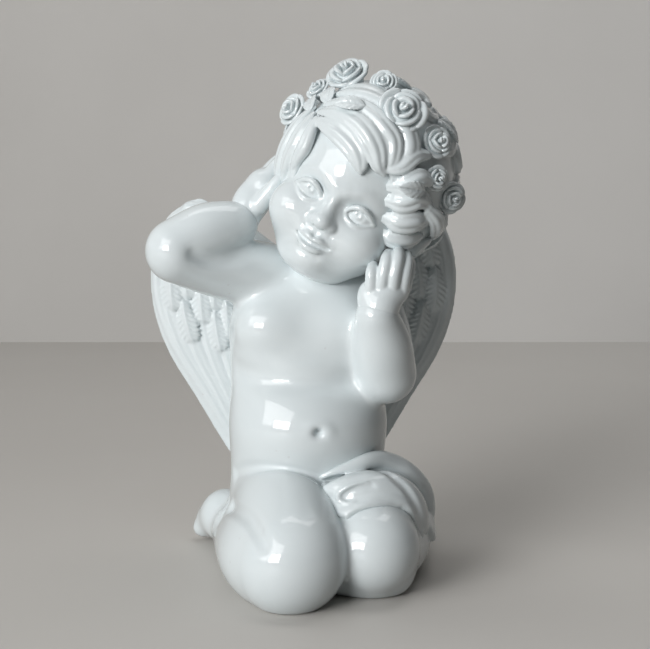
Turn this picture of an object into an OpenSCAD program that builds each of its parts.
// Kneeling cherub figurine with a wreath of roses: resin castings bonded at pegged seams.
// Frame: +Z up, the figure looks along -Y, origin on the table under the seat.

/* [Torso] */
// Width of the seat
seat_w = 58; // [54:1:62]
// Depth of the seat
seat_d = 54; // [50:1:58]
// Width across the hips
hip_w = 61; // [57:1:65]
// Depth through the hips
hip_d = 55; // [51:1:59]
// Width of the belly
belly_w = 62; // [58:1:66]
// Depth of the belly
belly_d = 57; // [53:1:61]
// Width of the chest
chest_w = 62; // [58:1:66]
// Depth of the chest
chest_d = 44; // [40:1:48]
// Width across the slope of the shoulders
shoulder_w = 47; // [44:1:50]
// Depth of the shoulders
shoulder_d = 33; // [30:1:36]
// Height of the hips above the table
hip_z = 30; // [28:1:32]
// Height of the fullest part of the belly
belly_z = 57; // [54:1:60]
// Height of the chest
chest_z = 100; // [97:1:103]
// Height of the shoulders above the table
shoulder_z = 114; // [111:1:117]
// How far the belly stands forward of the chest
belly_out = 4; // [2:0.5:6]
// Place of the torso's middle line beside the plug
torso_x = -4; // [-6:0.5:-2]
// Place of the torso's middle line behind the plug
torso_y = 9; // [7:0.5:11]
// Length of the neck
neck_len = 9; // [8:0.5:11]
// Diameter of the neck
neck_d = 23; // [20:1:26]

/* [Legs] */
// Distance of each hip from the middle line
hip_x = 12; // [10.5:0.5:13.5]
// Length of a thigh from hip to knee
thigh_len = 47; // [44:1:50]
// Length of a shin from knee to ankle
shin_len = 70; // [67:1:73]
// Length of a foot beyond the ankle
foot_len = 18; // [16:1:20]
// Diameter of the thighs
thigh_d = 38; // [35:1:41]
// Diameter of the knees
knee_d = 38; // [35:1:41]
// Diameter of the calves
calf_d = 37; // [34:1:39]
// Diameter of the ankles
ankle_d = 20; // [18:1:22]
// Diameter of the feet
foot_d = 17; // [15:1:19]

/* [Arms] */
// Length of an upper arm from shoulder to elbow
upper_arm_len = 34.5; // [33:0.5:36]
// Length of a forearm from elbow to wrist
forearm_len = 30.5; // [29:0.5:32]
// Length of a palm from wrist to knuckles
palm_len = 10; // [9:0.5:11]
// Length of the fingers
finger_len = 14; // [13:0.5:15]
// Diameter of the upper arms
upper_arm_d = 23; // [21:1:25]
// Diameter of the elbows
elbow_d = 23; // [21:1:25]
// Diameter of the forearms
forearm_d = 21; // [19:1:23]
// Diameter of the wrists
wrist_d = 15; // [14:1:17]
// Thickness of the palms
palm_d = 13; // [12:1:15]
// Diameter of the fingers
finger_d = 4; // [3.6:0.2:4.6]

/* [Head] */
// How far the head stands beside the neck
head_side = 11; // [9:0.5:13]
// How far the head stands forward of the neck
head_fore = 6; // [4:0.5:8]
// How far the middle of the head stands above the neck
head_rise = 28.5; // [27:0.5:30]
// Width of the skull
skull_w = 56; // [52:1:60]
// Depth of the skull
skull_d = 60; // [56:1:64]
// Height of the skull
skull_h = 62; // [58:1:66]
// Lean of the head towards the figure's left shoulder
head_roll = 27; // [22:1:32]
// Nod of the head
head_nod = 10; // [6:1:14]
// Turn of the face towards the raised arm
head_turn = -12; // [-16:1:-8]
// Thickness of the hair over the skull
hair_t = 7; // [6:0.5:8]
// Diameter of the locks of hair
lock_d = 6; // [5:0.5:7]

/* [Wreath] */
// Diameter of the large roses
rose_large_d = 18; // [16:1:19]
// Diameter of the middle roses
rose_middle_d = 13; // [12:0.5:14]
// Diameter of the small roses
rose_small_d = 10.5; // [9.5:0.5:11.5]
// Length of the leaves
leaf_len = 12; // [10:1:14]
// Width of the leaves
leaf_w = 6; // [5:0.5:7]
// Thickness of a leaf
leaf_t = 2.6; // [2.2:0.2:3]

/* [Wings] */
// Reach of one wing from the spine
wing_reach = 63; // [59:1:67]
// Height from the tip of a wing to its top
wing_h = 113; // [107:1:119]
// Thickness of a wing's feathers
feather_t = 4; // [3:0.5:5]

/* [Drape] */
// Thickness of the cloth
drape_t = 4.5; // [4:0.5:5.5]

/* [Shell and joints] */
// Wall of the hollow body
wall = 5; // [4:0.5:6]
// Diameter of the drain hole
drain_d = 16; // [14:1:18]
// Diameter of the pegs
peg_d = 8; // [7:0.5:9]
// Length of the pegs
peg_len = 8; // [7:0.5:9]
// Diameter of the wrist pegs
wrist_peg_d = 5; // [4:0.5:6]
// Gap for glue round a peg
glue_gap = 0.15; // [0.1:0.05:0.25]

/* [Hidden] */
smooth_fn = 18;
small_fn = 8;
fine_fn = 6;
ground_cut = 1.2;
big = 400;

// Vector and interpolation helpers
function unit(v) = v / norm(v);
function mix(a, b, t) = a + (b - a) * t;
function turn_x(a) = [[1, 0, 0], [0, cos(a), -sin(a)], [0, sin(a), cos(a)]];
function turn_y(a) = [[cos(a), 0, sin(a)], [0, 1, 0], [-sin(a), 0, cos(a)]];
function turn_z(a) = [[cos(a), -sin(a), 0], [sin(a), cos(a), 0], [0, 0, 1]];
// A ball [x, y, z, radius] that stands on the table, flattened there by a cut
function grounded(x, y, d, cut = ground_cut) = [x, y, d / 2 - cut, d / 2];
function ball(p, d) = [p[0], p[1], p[2], d / 2];
// Catmull-Rom curve through rows of numbers; t runs from 0 to the last row
function row_at(rows, i) = rows[max(0, min(len(rows) - 1, i))];
function cubic(a, b, c, d, t) =
    b + 0.5 * t * (c - a + t * (2 * a - 5 * b + 4 * c - d + t * (3 * (b - c) + d - a)));
function curve(rows, t) =
    let (i = min(floor(t), len(rows) - 2))
    cubic(row_at(rows, i - 1), row_at(rows, i), row_at(rows, i + 1), row_at(rows, i + 2), t - i);

// Torso: rows of [x, y, z, half width, half depth] from the table to the neck
neck = [torso_x + head_side * 0.7, torso_y, shoulder_z + neck_len];
waist_z = (belly_z + chest_z) / 2;
torso_rows = [
    [torso_x, torso_y, -ground_cut, seat_w / 2, seat_d / 2],
    [torso_x, torso_y, hip_z, hip_w / 2, hip_d / 2],
    [torso_x, torso_y - belly_out, belly_z, belly_w / 2, belly_d / 2],
    [torso_x, torso_y, waist_z, (belly_w + chest_w) / 4, (belly_d + chest_d) / 4],
    [torso_x, torso_y, chest_z, chest_w / 2, chest_d / 2],
    [(torso_x + neck[0]) / 2, torso_y, shoulder_z, shoulder_w / 2, shoulder_d / 2],
    concat(neck, [neck_d / 2, neck_d / 2]),
];
spine = [torso_x * 1.5, torso_y + chest_d / 2 - wall / 2, chest_z + neck_len / 2];

// Legs: chains of [x, y, z, radius]; the directions are those of a figure that sits turned on its heels
function leg_point(from, along, length, d) = let (p = from + length * unit(along)) grounded(p[0], p[1], d);
function point(b) = [b[0], b[1], b[2]];
function thigh(hip, knee) =
    let (middle = mix(hip, point(knee), 0.48) + [0, 0, knee[3] * 0.12])
    [ball(hip, thigh_d), ball(middle, thigh_d), knee];
function calf(knee, ankle) =
    [for (k = [[0.02, knee[3] * 2], [0.38, calf_d], [0.7, calf_d * 0.79]])
        let (p = mix(point(knee), point(ankle), k[0])) grounded(p[0], p[1], k[1], k[1] * 0.09),
        ankle];
// A foot is a heel, a ball and a row of toes across its end
function foot(ankle, along) =
    let (heel = point(ankle) + foot_len * 0.4 * unit(along), tread = point(ankle) + foot_len * unit(along))
    [[heel[0], heel[1], ankle_d * 0.68, ankle_d * 0.48], grounded(tread[0], tread[1], foot_d, 0)];
function toes(ankle, along) =
    let (ahead = unit(along), across = [-ahead[1], ahead[0], 0], r = foot_d * 0.18)
    let (end = point(ankle) + (foot_len + foot_d * 0.31) * ahead)
    [for (side = [-1, 0, 1]) let (p = end + side * foot_d * 0.3 * across) [p[0], p[1], r * 1.9, r]];
right_hip = [torso_x - hip_x, torso_y - belly_out / 2, hip_z * 0.97];
right_knee = leg_point(right_hip, [0.12, -0.99, 0], thigh_len, knee_d);
right_ankle = leg_point(point(right_knee), [-0.34, 0.94, 0], shin_len, ankle_d);
left_hip = [torso_x + hip_x, torso_y + belly_out * 2, hip_z * 0.97];
left_knee = leg_point(left_hip, [0.29, -0.96, 0], thigh_len * 1.02, knee_d);
left_ankle = leg_point(point(left_knee), [0.19, 0.98, 0], shin_len, ankle_d);
right_thigh = thigh(right_hip, right_knee);
right_calf = calf(right_knee, right_ankle);
right_ahead = [-0.61, 0.79, 0];
right_foot = foot(right_ankle, right_ahead);
right_toes = toes(right_ankle, right_ahead);
left_thigh = thigh(left_hip, left_knee);
left_calf = calf(left_knee, left_ankle);
left_ahead = [0.12, 0.99, 0];
left_foot = foot(left_ankle, left_ahead);
left_toes = toes(left_ankle, left_ahead);
// Front of the left knee, pressed flat on the table
left_pad = [for (side = [-0.22, 0.22])
    grounded(left_knee[0] + side * knee_d, left_knee[1] - knee_d * 0.2, knee_d * 0.45)];

// Head: local points, with x across, y back and z up, measured from the middle of the head
head_c = neck + [head_side, -head_fore, head_rise];
head_m = turn_y(head_roll) * turn_x(head_nod) * turn_z(head_turn);
function at_head(p) = head_c + head_m * p;
skull_c = [0, skull_d * 0.03, skull_h * 0.065];
skull_half = [skull_w, skull_d, skull_h] / 2;
// The hair is thickest at the back and the top, and thinner over the brow and at the raised arm
hair_c = skull_c + hair_t * [0.2, 0.37, 0.11];
hair_half = skull_half + hair_t * [0.74, 0.51, 0.74];
function on_hair(around, forward, lift = 0) =
    let (d = [sin(around) * cos(forward), -sin(forward), cos(around) * cos(forward)])
    hair_c + [for (i = [0:2]) (hair_half[i] + lift) * d[i]];
function out_of_hair(p) = unit([for (i = [0:2]) (p[i] - hair_c[i]) / pow(hair_half[i], 2)]);

// Arms: chains of [x, y, z, radius] from the shoulder to the wrist
right_shoulder = [torso_x - chest_w / 2, torso_y, shoulder_z] + upper_arm_d * [0.5, 0.05, 0.09];
right_elbow = right_shoulder + upper_arm_len * unit([-28, -16, 12]);
right_wrist = right_elbow + forearm_len * unit([25, 8, 13]);
left_shoulder = [torso_x + chest_w / 2, torso_y, shoulder_z] + upper_arm_d * [-0.25, 0.13, -0.22];
left_elbow = left_shoulder + upper_arm_len * unit([5, -20, -28]);
left_wrist = left_elbow + forearm_len * unit([-4, -14, 29]);
function upper_arm(shoulder, elbow) = [ball(shoulder, upper_arm_d * 1.07), ball(elbow, elbow_d)];
function forearm(elbow, wrist) =
    [ball(elbow, elbow_d), ball(mix(elbow, wrist, 0.45), forearm_d), ball(wrist, wrist_d)];

// Hands: a palm at the wrist, and fingers that lie on the side of the head
right_knuckles = right_wrist + palm_len * unit([7, 8, 12]);
right_tips = right_knuckles + finger_len * unit([8, 4, 12]);
left_knuckles = left_wrist + palm_len * unit([4, 1, 9]);
left_tips = left_knuckles + finger_len * unit([4, 4, 13]);

// Wreath: [name, angle round the head, angle forward, diameter, how far it stands off the hair]
wreath = [
    ["rose_right_temple", -75, 12, rose_middle_d, lock_d * 0.55],
    ["rose_crown_right", -57, 9, rose_small_d, lock_d * 0.5],
    ["rose_crown_large", -39, 6, rose_large_d, lock_d * 0.4],
    ["rose_crown_small", -15, 15, rose_small_d, 0],
    ["rose_front_large", 8, 34, rose_large_d, 0],
    ["rose_left_upper", 38, 25, rose_middle_d, 0],
    ["rose_left_small", 61, 30, rose_small_d, 0],
    ["rose_left_lower", 74, 10, rose_middle_d, 0],
];
// Leaves: [name, angle round the head, angle forward, turn in the surface]
leaves = [
    ["leaf_right_tip", -92, 16, 200],
    ["leaf_right_inner", -64, 27, 250],
    ["leaf_fringe_right", -50, 33, 240],
    ["leaf_fringe_left", -17, 45, 300],
    ["leaf_crown_back", -2, -4, 60],
    ["leaf_left_upper", 26, 8, 40],
    ["leaf_left_inner", 66, 50, 280],
    ["leaf_left_outer", 83, 13, 10],
    ["leaf_left_tip", 112, 2, 160],
];

// Wings: points [out, up] measured from the spine joint; feathers run between two edges from top to tip
wing_top = wing_h * 0.36;
function wing_edge(shares) = [for (p = shares) [wing_reach * p[0], wing_top - wing_h * p[1]]];
outer_edge = wing_edge([[0.73, 0], [0.9, 0.06], [1, 0.2], [1, 0.36], [0.9, 0.52], [0.7, 0.69], [0.5, 0.86],
    [0.32, 1]]);
inner_edge = wing_edge([[0.16, 0.22], [0.13, 0.31], [0.1, 0.43], [0.08, 0.56], [0.08, 0.68], [0.11, 0.8],
    [0.17, 0.91], [0.24, 0.99]]);
feathers = 7;
wing_back = wall;
wing_bow = wing_reach * 0.1;
function wing_point(across, along, lift = 0) =
    let (p = mix(curve(outer_edge, along), curve(inner_edge, along), across))
    [p[0], wing_back + lift + wing_bow * pow(p[0] / wing_reach, 2), p[1]];

// Cloth over the left thigh: it lies between two planes across the leg, stops short of the inner thigh
// and laps a little way up the belly
drape_normal = unit([-0.46, 0.79, 0.41]);
drape_front = point(left_knee) + [-hip_x * 0.75, -knee_d * 0.26, knee_d * 0.55];
drape_w = thigh_len * 0.55;
drape_side = left_hip + [hip_x * 0.68, -thigh_len * 0.4, -drape_t];
drape_side_normal = unit([0.8, 0, 0.6]);
drape_top = left_hip[2] + thigh_d * 0.55;

// A string of balls, each joined to the next
module chain(balls, sides = smooth_fn) {
    for (i = [0:len(balls) - 2])
        hull() for (b = [balls[i], balls[i + 1]])
            translate([b[0], b[1], b[2]]) sphere(b[3], $fn = sides);
}

// An egg with three half axes
module egg(c, half, sides = smooth_fn) {
    translate(c) scale(half) sphere(1, $fn = sides);
}

// A closed skin over elliptic rows, inset by a wall
module loft(rows, inset = 0, sides = 24, steps = 3) {
    rings = [for (t = [0:1 / steps:len(rows) - 1]) curve(rows, t)];
    n = len(rings);
    points = [for (r = rings, a = [0:360 / sides:359])
        [r[0] + (r[3] - inset) * cos(a), r[1] + (r[4] - inset) * sin(a), r[2]]];
    sides_faces = [for (i = [0:n - 2], j = [0:sides - 1])
        let (k = (j + 1) % sides)
        [i * sides + j, (i + 1) * sides + j, (i + 1) * sides + k, i * sides + k]];
    bottom = [for (j = [0:sides - 1]) j];
    top = [for (j = [sides - 1:-1:0]) (n - 1) * sides + j];
    polyhedron(points, concat(sides_faces, [bottom, top]));
}

// Puts a shape at a point with its z axis along a direction
module aim(from, along) {
    v = unit(along);
    translate(from) rotate([0, acos(v[2]), atan2(v[1], v[0])]) children();
}

// A peg from a point along a direction
module peg(from, along, d, h) {
    aim(from, along) cylinder(d = d, h = h);
}

// The space in front of a plane, to a depth
module slab(from, along, depth = big) {
    aim(from, along) translate([-big / 2, -big / 2, 0]) cube([big, big, depth]);
}

// Everything below the table
module under_table() {
    slab([0, 0, 0], [0, 0, -1]);
}

// Shapes of the castings before they are seated on each other
module torso_form() {
    loft(torso_rows);
    // The belly and both sides of the chest, rounded out
    egg([torso_x, torso_y - belly_out * 2.7, belly_z * 1.05],
        [belly_w * 0.45, belly_d * 0.42, waist_z - belly_z], 16);
    for (side = [-1, 1])
        egg([torso_x + side * chest_w * 0.22, torso_y - chest_d * 0.29, chest_z * 0.98],
            [chest_w * 0.23, chest_d * 0.26, neck_d * 0.55], 12);
}

module legs_form() {
    for (limb = [right_thigh, right_calf, left_thigh, left_calf]) chain(limb);
    for (end = [right_foot, left_foot, left_pad]) chain(end, 10);
    for (end = [right_toes, left_toes]) chain(end, small_fn);
    // The seat
    for (side = [-1, 1])
        egg([torso_x + side * hip_x * 1.25, torso_y + seat_d * 0.23, hip_z * 0.6],
            [seat_w * 0.32, seat_d * 0.34, hip_z * 0.68], 12);
}

module body_form() {
    torso_form();
    legs_form();
}

module place_head() {
    multmatrix([for (i = [0:2]) [head_m[i][0], head_m[i][1], head_m[i][2], head_c[i]]]) children();
}

module head_form() {
    place_head() {
        egg(skull_c, skull_half);
        egg([0, -skull_d * 0.15, -skull_h * 0.26], [skull_w * 0.43, skull_d * 0.33, skull_h * 0.31]);
        for (side = [-1, 1]) {
            egg([side * skull_w * 0.23, -skull_d * 0.28, -skull_h * 0.24], skull_w * [0.18, 0.18, 0.18]);
            egg([side * skull_w / 2, skull_d * 0.05, -skull_h * 0.13],
                [skull_w * 0.05, skull_d * 0.08, skull_h * 0.13], small_fn);
        }
        egg([0, -skull_d * 0.34, -skull_h * 0.46], [skull_w * 0.16, skull_d * 0.13, skull_h * 0.105]);
        egg([0, -skull_d * 0.49, -skull_h * 0.18],
            [skull_w * 0.063, skull_d * 0.067, skull_h * 0.05], small_fn);
    }
    chain([ball(neck, neck_d), ball(at_head([0, skull_d * 0.03, -skull_h * 0.23]), neck_d)]);
}

// Locks swept both ways from a parting over the right eye, waves at the left cheek, and round curls behind;
// a row of curls is [angle forward, number of curls, angle to its ends]
curl_rows = [[8, 10, 118], [-12, 11, 128], [-32, 10, 136], [-52, 9, 180], [-73, 5, 180]];

// Seats a shape on the hair, its z axis along the hair's outward normal
module on_hair_surface(around, forward, turn = 0, lift = 0) {
    p = on_hair(around, forward, lift);
    aim(p, out_of_hair(p)) rotate(turn) children();
}

// The room that the locks leave for the wreath: a cone from the middle of the hair to each rose and leaf
module wreath_room() {
    for (w = wreath) hull() {
        translate(hair_c) sphere(1, $fn = 4);
        on_hair_surface(w[1], w[2], 0, lock_d) cylinder(d = w[3] * 1.3, h = 1, $fn = small_fn);
    }
    for (l = leaves) hull() {
        translate(hair_c) sphere(1, $fn = 4);
        on_hair_surface(l[1], l[2], l[3], lock_d) translate([leaf_len * 0.5, 0, 0])
            scale([leaf_len * 0.6, leaf_w * 0.62, 1]) cylinder(h = 1, $fn = fine_fn);
    }
}

// A lock along angles on the hair, solid down to the skull
module lock(angles) {
    for (i = [0:len(angles) - 2])
        hull() for (a = [angles[i], angles[i + 1]], foot = [[0.15, 0.5], [1, 0.2]])
            translate(on_hair(a[0], a[1], -lock_d * foot[0])) sphere(lock_d * foot[1], $fn = 5);
}

module locks() {
    for (k = [0:2]) {
        lock([for (t = [0:4])
            [-58 + 6 * k + t * (32 - 5 * k), 45 - 11 * k + (26 - 5 * k) * sin(37 * t)]]);
        lock([for (t = [0:2]) [-62 - 2 * k - t * 22, 46 - 12 * k + (9 - 2 * k) * sin(65 * t)]]);
    }
    for (k = [0:3])
        lock([for (t = [0:3]) [62 + 17 * k + 3 * pow(-1, t), 15 + 11.5 * t]]);
    for (r = [0:len(curl_rows) - 1], k = [0:curl_rows[r][1] - 1]) {
        row = curl_rows[r];
        on_hair_surface(row[2] * ((2 * k + 1 + 0.5 * (r % 2)) / row[1] - 1), row[0], 0, -lock_d * 0.3)
            scale(lock_d * [1.2, 1.2, 0.7]) sphere(1, $fn = fine_fn);
    }
}

module hair_form() {
    place_head() difference() {
        union() {
            egg(hair_c, hair_half);
            difference() {
                locks();
                wreath_room();
            }
        }
        rotate([0, -16, 0])
            egg([0, -skull_d * 0.53, -skull_h * 0.15], [skull_w * 0.41, skull_d * 0.43, skull_h * 0.48]);
        slab([0, 0, -skull_h * 0.32], [0, 0, -1]);
    }
}

// The smooth bed on which the hands lie, just under the crests of the locks
module hair_bed() {
    place_head() egg(hair_c, hair_half + lock_d * [0.3, 0.3, 0.3]);
}

module right_arm_form() {
    chain(upper_arm(right_shoulder, right_elbow));
    chain(forearm(right_elbow, right_wrist));
}

module left_arm_form() {
    chain(upper_arm(left_shoulder, left_elbow));
    chain(forearm(left_elbow, left_wrist));
}

// A palm and four fingers spread across a direction, with a thumb
module hand_form(wrist, knuckles, tips, across, gap, thumb_tip) {
    spread = unit(across) * gap;
    for (side = [-1, 1])
        chain([ball(mix(wrist, knuckles, 0.1), wrist_d * 0.87),
            ball(knuckles + side * spread, palm_d * 0.77)], 10);
    for (k = [-1.5:1:1.5])
        chain([ball(knuckles + k * spread, finger_d * 1.25),
            ball(mix(knuckles, tips, 0.55) + k * spread, finger_d),
            ball(tips + k * spread - abs(k) * 0.12 * (tips - knuckles), finger_d * 0.85)], 6);
    chain([ball(mix(wrist, knuckles, 0.4) - 1.4 * spread, finger_d * 1.4), ball(thumb_tip, finger_d)], 6);
}

module right_hand_form() {
    hand_form(right_wrist, right_knuckles, right_tips, [0.45, 0.85, -0.3], finger_d * 1.2,
        right_knuckles + palm_len * [0.6, -0.8, -0.2]);
}

module left_hand_form() {
    hand_form(left_wrist, left_knuckles, left_tips, [1, 0.35, 0], finger_d * 0.95,
        left_knuckles + palm_len * [-0.6, -0.1, 0.7]);
}

// One feather: a strip between two shares of the wing's width, its outer side lifted over its neighbour
module feather(from, to, length, steps = 6) {
    n = 2 * (steps + 1);
    front = [for (i = [0:steps], side = [0, 1])
        let (tip = i == steps ? 0.35 : 0)
        wing_point(mix(from, to, side == 0 ? tip : 1 - tip), length * i / steps,
            -feather_t * 0.5 * (1 - side))];
    back = [for (p = front) p + [0, feather_t, 0]];
    strips = [for (i = [0:2:n - 4])
        each [[i + 2, i + 3, i + 1, i], [n + i + 1, n + i + 3, n + i + 2, n + i],
            [n + i, n + i + 2, i + 2, i], [i + 3, n + i + 3, n + i + 1, i + 1]]];
    ends = [[1, n + 1, n, 0], [2 * n - 2, 2 * n - 1, n - 1, n - 2]];
    polyhedron(concat(front, back), concat(strips, ends));
}

module wing_form() {
    translate(spine) {
        chain(concat([[feather_t, wing_back, feather_t, feather_t * 1.6]],
            [for (t = [0:2])
                let (p = wing_point(0.05, t))
                [p[0], p[1], p[2] - feather_t / 2, feather_t * (1.3 - 0.2 * t)]]), 12);
        for (k = [0:feathers - 1])
            feather(k / feathers, (k + 1.25) / feathers, 7 - k * 0.55);
        for (row = [0:2], k = [0:2], face = [-0.15, 0.65])
            egg(wing_point(0.22 + 0.25 * k + 0.12 * (row % 2), 0.75 + row, feather_t * face),
                [wing_reach * 0.13, feather_t * 0.9, wing_reach * 0.14], 5);
    }
}

// The leg and the belly grown by a thickness, kept between two planes across the leg
module drape_band(from, width, thick) {
    intersection() {
        union() {
            for (limb = [left_thigh, left_calf])
                chain([for (b = limb) b + [0, 0, 0, thick]]);
            loft(torso_rows, -thick);
        }
        slab(drape_front + from * drape_normal, drape_normal, width);
        slab(drape_side, drape_side_normal);
        slab([0, 0, drape_top], [0, 0, -1]);
    }
}

module drape_form() {
    drape_band(0, drape_w, drape_t * 0.7);
    for (k = [0:2])
        drape_band(k * drape_w * 0.36, drape_w * 0.2, drape_t * 1.1);
}

// A rose: a cup drawn down by a stem, an outer and an inner whorl of petals, and a bud
module rose_form(d, stem) {
    r = d / 2;
    whorls = [[5, 0.66, 0.32, 0.06], [3, 0.36, 0.27, 0.24]];
    egg([0, 0, -stem / 2], [r * 0.62, r * 0.62, r * 0.5 + stem / 2], fine_fn);
    for (w = whorls, k = [0:w[0] - 1])
        rotate(k * 360 / w[0]) hull() for (a = [-26, 26])
            rotate(a) translate([r * w[1], 0, r * w[3]]) sphere(r * w[2], $fn = 5);
    egg([0, 0, r * 0.4], [r * 0.26, r * 0.26, r * 0.3], 5);
}

module wreath_rose(w) {
    place_head() on_hair_surface(w[1], w[2], 0, w[3] * 0.1 + w[4]) rose_form(w[3], w[4]);
}

// A leaf that lies on the crests of the locks, with a keel let into the hair between them
module leaf_form(l) {
    crest = lock_d * 0.35;
    middle = leaf_len * 0.45;
    place_head() on_hair_surface(l[1], l[2], l[3], crest) hull() {
        sphere(leaf_t * 0.45, $fn = fine_fn);
        egg([middle, 0, 0], [leaf_len * 0.3, leaf_w / 2, leaf_t / 2], small_fn);
        egg([middle, 0, -crest * 1.5], [leaf_len * 0.12, leaf_w * 0.12, leaf_t * 0.3], 4);
        translate([leaf_len - leaf_t * 0.3, 0, 0]) sphere(leaf_t * 0.3, $fn = 4);
    }
}

// Pegs that hold the castings together; grow is 0 for a peg and the glue gap for its socket
module neck_peg(grow = 0) {
    peg(neck, [0, 0, -1], neck_d * 0.5 + 2 * grow, peg_len + grow);
}

module shoulder_pegs(grow = 0, side = "both") {
    if (side != "left")
        peg(right_shoulder, [0.9, 0.3, -0.25], peg_d + 2 * grow, upper_arm_d * 0.5 + peg_len + grow);
    if (side != "right")
        peg(left_shoulder + upper_arm_d * [0.36, -0.1, -0.27], [-1, 0, 0], peg_d + 2 * grow,
            upper_arm_d * 0.36 + peg_len + grow);
}

module wing_pegs(grow = 0, side = "both") {
    for (s = [-1, 1])
        if (side == "both" || (side == "right") == (s < 0))
            peg(spine + [s * peg_d * 1.1, wing_back, 0], [0, -1, 0], peg_d + 2 * grow,
                peg_len + wing_back + grow);
}

module wrist_peg(wrist, knuckles, grow = 0) {
    out = unit(knuckles - wrist);
    peg(wrist + out * wrist_d * 0.7, -out, wrist_peg_d + 2 * grow, wrist_d * 0.7 + peg_len / 2 + grow);
}

// The castings
module body_shell() {
    color("white") difference() {
        body_form();
        under_table();
        loft([for (r = torso_rows) [r[0], r[1], max(r[2], wall), r[3], r[4]]], wall, 16, 1);
        translate([0, 0, -1]) cylinder(d = drain_d, h = wall + 2);
        neck_peg(glue_gap);
        shoulder_pegs(glue_gap);
        wing_pegs(glue_gap);
    }
}

module drain_plug() {
    r = drain_d / 2 - glue_gap;
    color("gainsboro") rotate_extrude($fn = 48)
        polygon([[0, 0], [r, 0], [r, wall + glue_gap], [r + wall * 0.2, wall + glue_gap],
            [r - wall * 0.1, wall * 1.4], [0, wall * 1.4]]);
}

module head() {
    color("white") {
        difference() {
            head_form();
            body_form();
        }
        neck_peg();
    }
}

module hair() {
    color("white") difference() {
        hair_form();
        head_form();
        body_form();
    }
}

module right_arm() {
    color("white") difference() {
        union() {
            difference() {
                right_arm_form();
                torso_form();
                head_form();
                hair_form();
            }
            shoulder_pegs(0, "right");
        }
        wrist_peg(right_wrist, right_knuckles, glue_gap);
    }
}

module left_arm() {
    color("white") difference() {
        union() {
            difference() {
                left_arm_form();
                body_form();
                head_form();
            }
            shoulder_pegs(0, "left");
        }
        wrist_peg(left_wrist, left_knuckles, glue_gap);
    }
}

module right_hand() {
    color("white") {
        difference() {
            right_hand_form();
            right_arm_form();
            head_form();
            hair_bed();
            hair_form();
        }
        wrist_peg(right_wrist, right_knuckles);
    }
}

module left_hand() {
    color("white") {
        difference() {
            left_hand_form();
            left_arm_form();
            torso_form();
            head_form();
            hair_form();
        }
        wrist_peg(left_wrist, left_knuckles);
    }
}

module wing(side) {
    color("white") {
        difference() {
            if (side == "right") translate([2 * spine[0], 0, 0]) mirror([1, 0, 0]) wing_form();
            else wing_form();
            body_form();
            hair_form();
            right_arm_form();
            left_arm_form();
            right_hand_form();
        }
        wing_pegs(0, side);
    }
}

module drape() {
    color("white") difference() {
        drape_form();
        body_form();
        left_arm_form();
        under_table();
    }
}

module rose(i) {
    color("white") difference() {
        wreath_rose(wreath[i]);
        hair_form();
        right_hand_form();
        if (i > 0) for (j = [0:i - 1]) wreath_rose(wreath[j]);
    }
}

module leaf(i) {
    color("white") difference() {
        leaf_form(leaves[i]);
        hair_form();
        right_hand_form();
        for (w = wreath) wreath_rose(w);
    }
}

body_shell();
drain_plug();
head();
hair();
right_arm();
right_hand();
left_arm();
left_hand();
wing("right");  // right_wing
wing("left");  // left_wing
drape();
for (i = [0:len(wreath) - 1]) rose(i);
for (i = [0:len(leaves) - 1]) leaf(i);
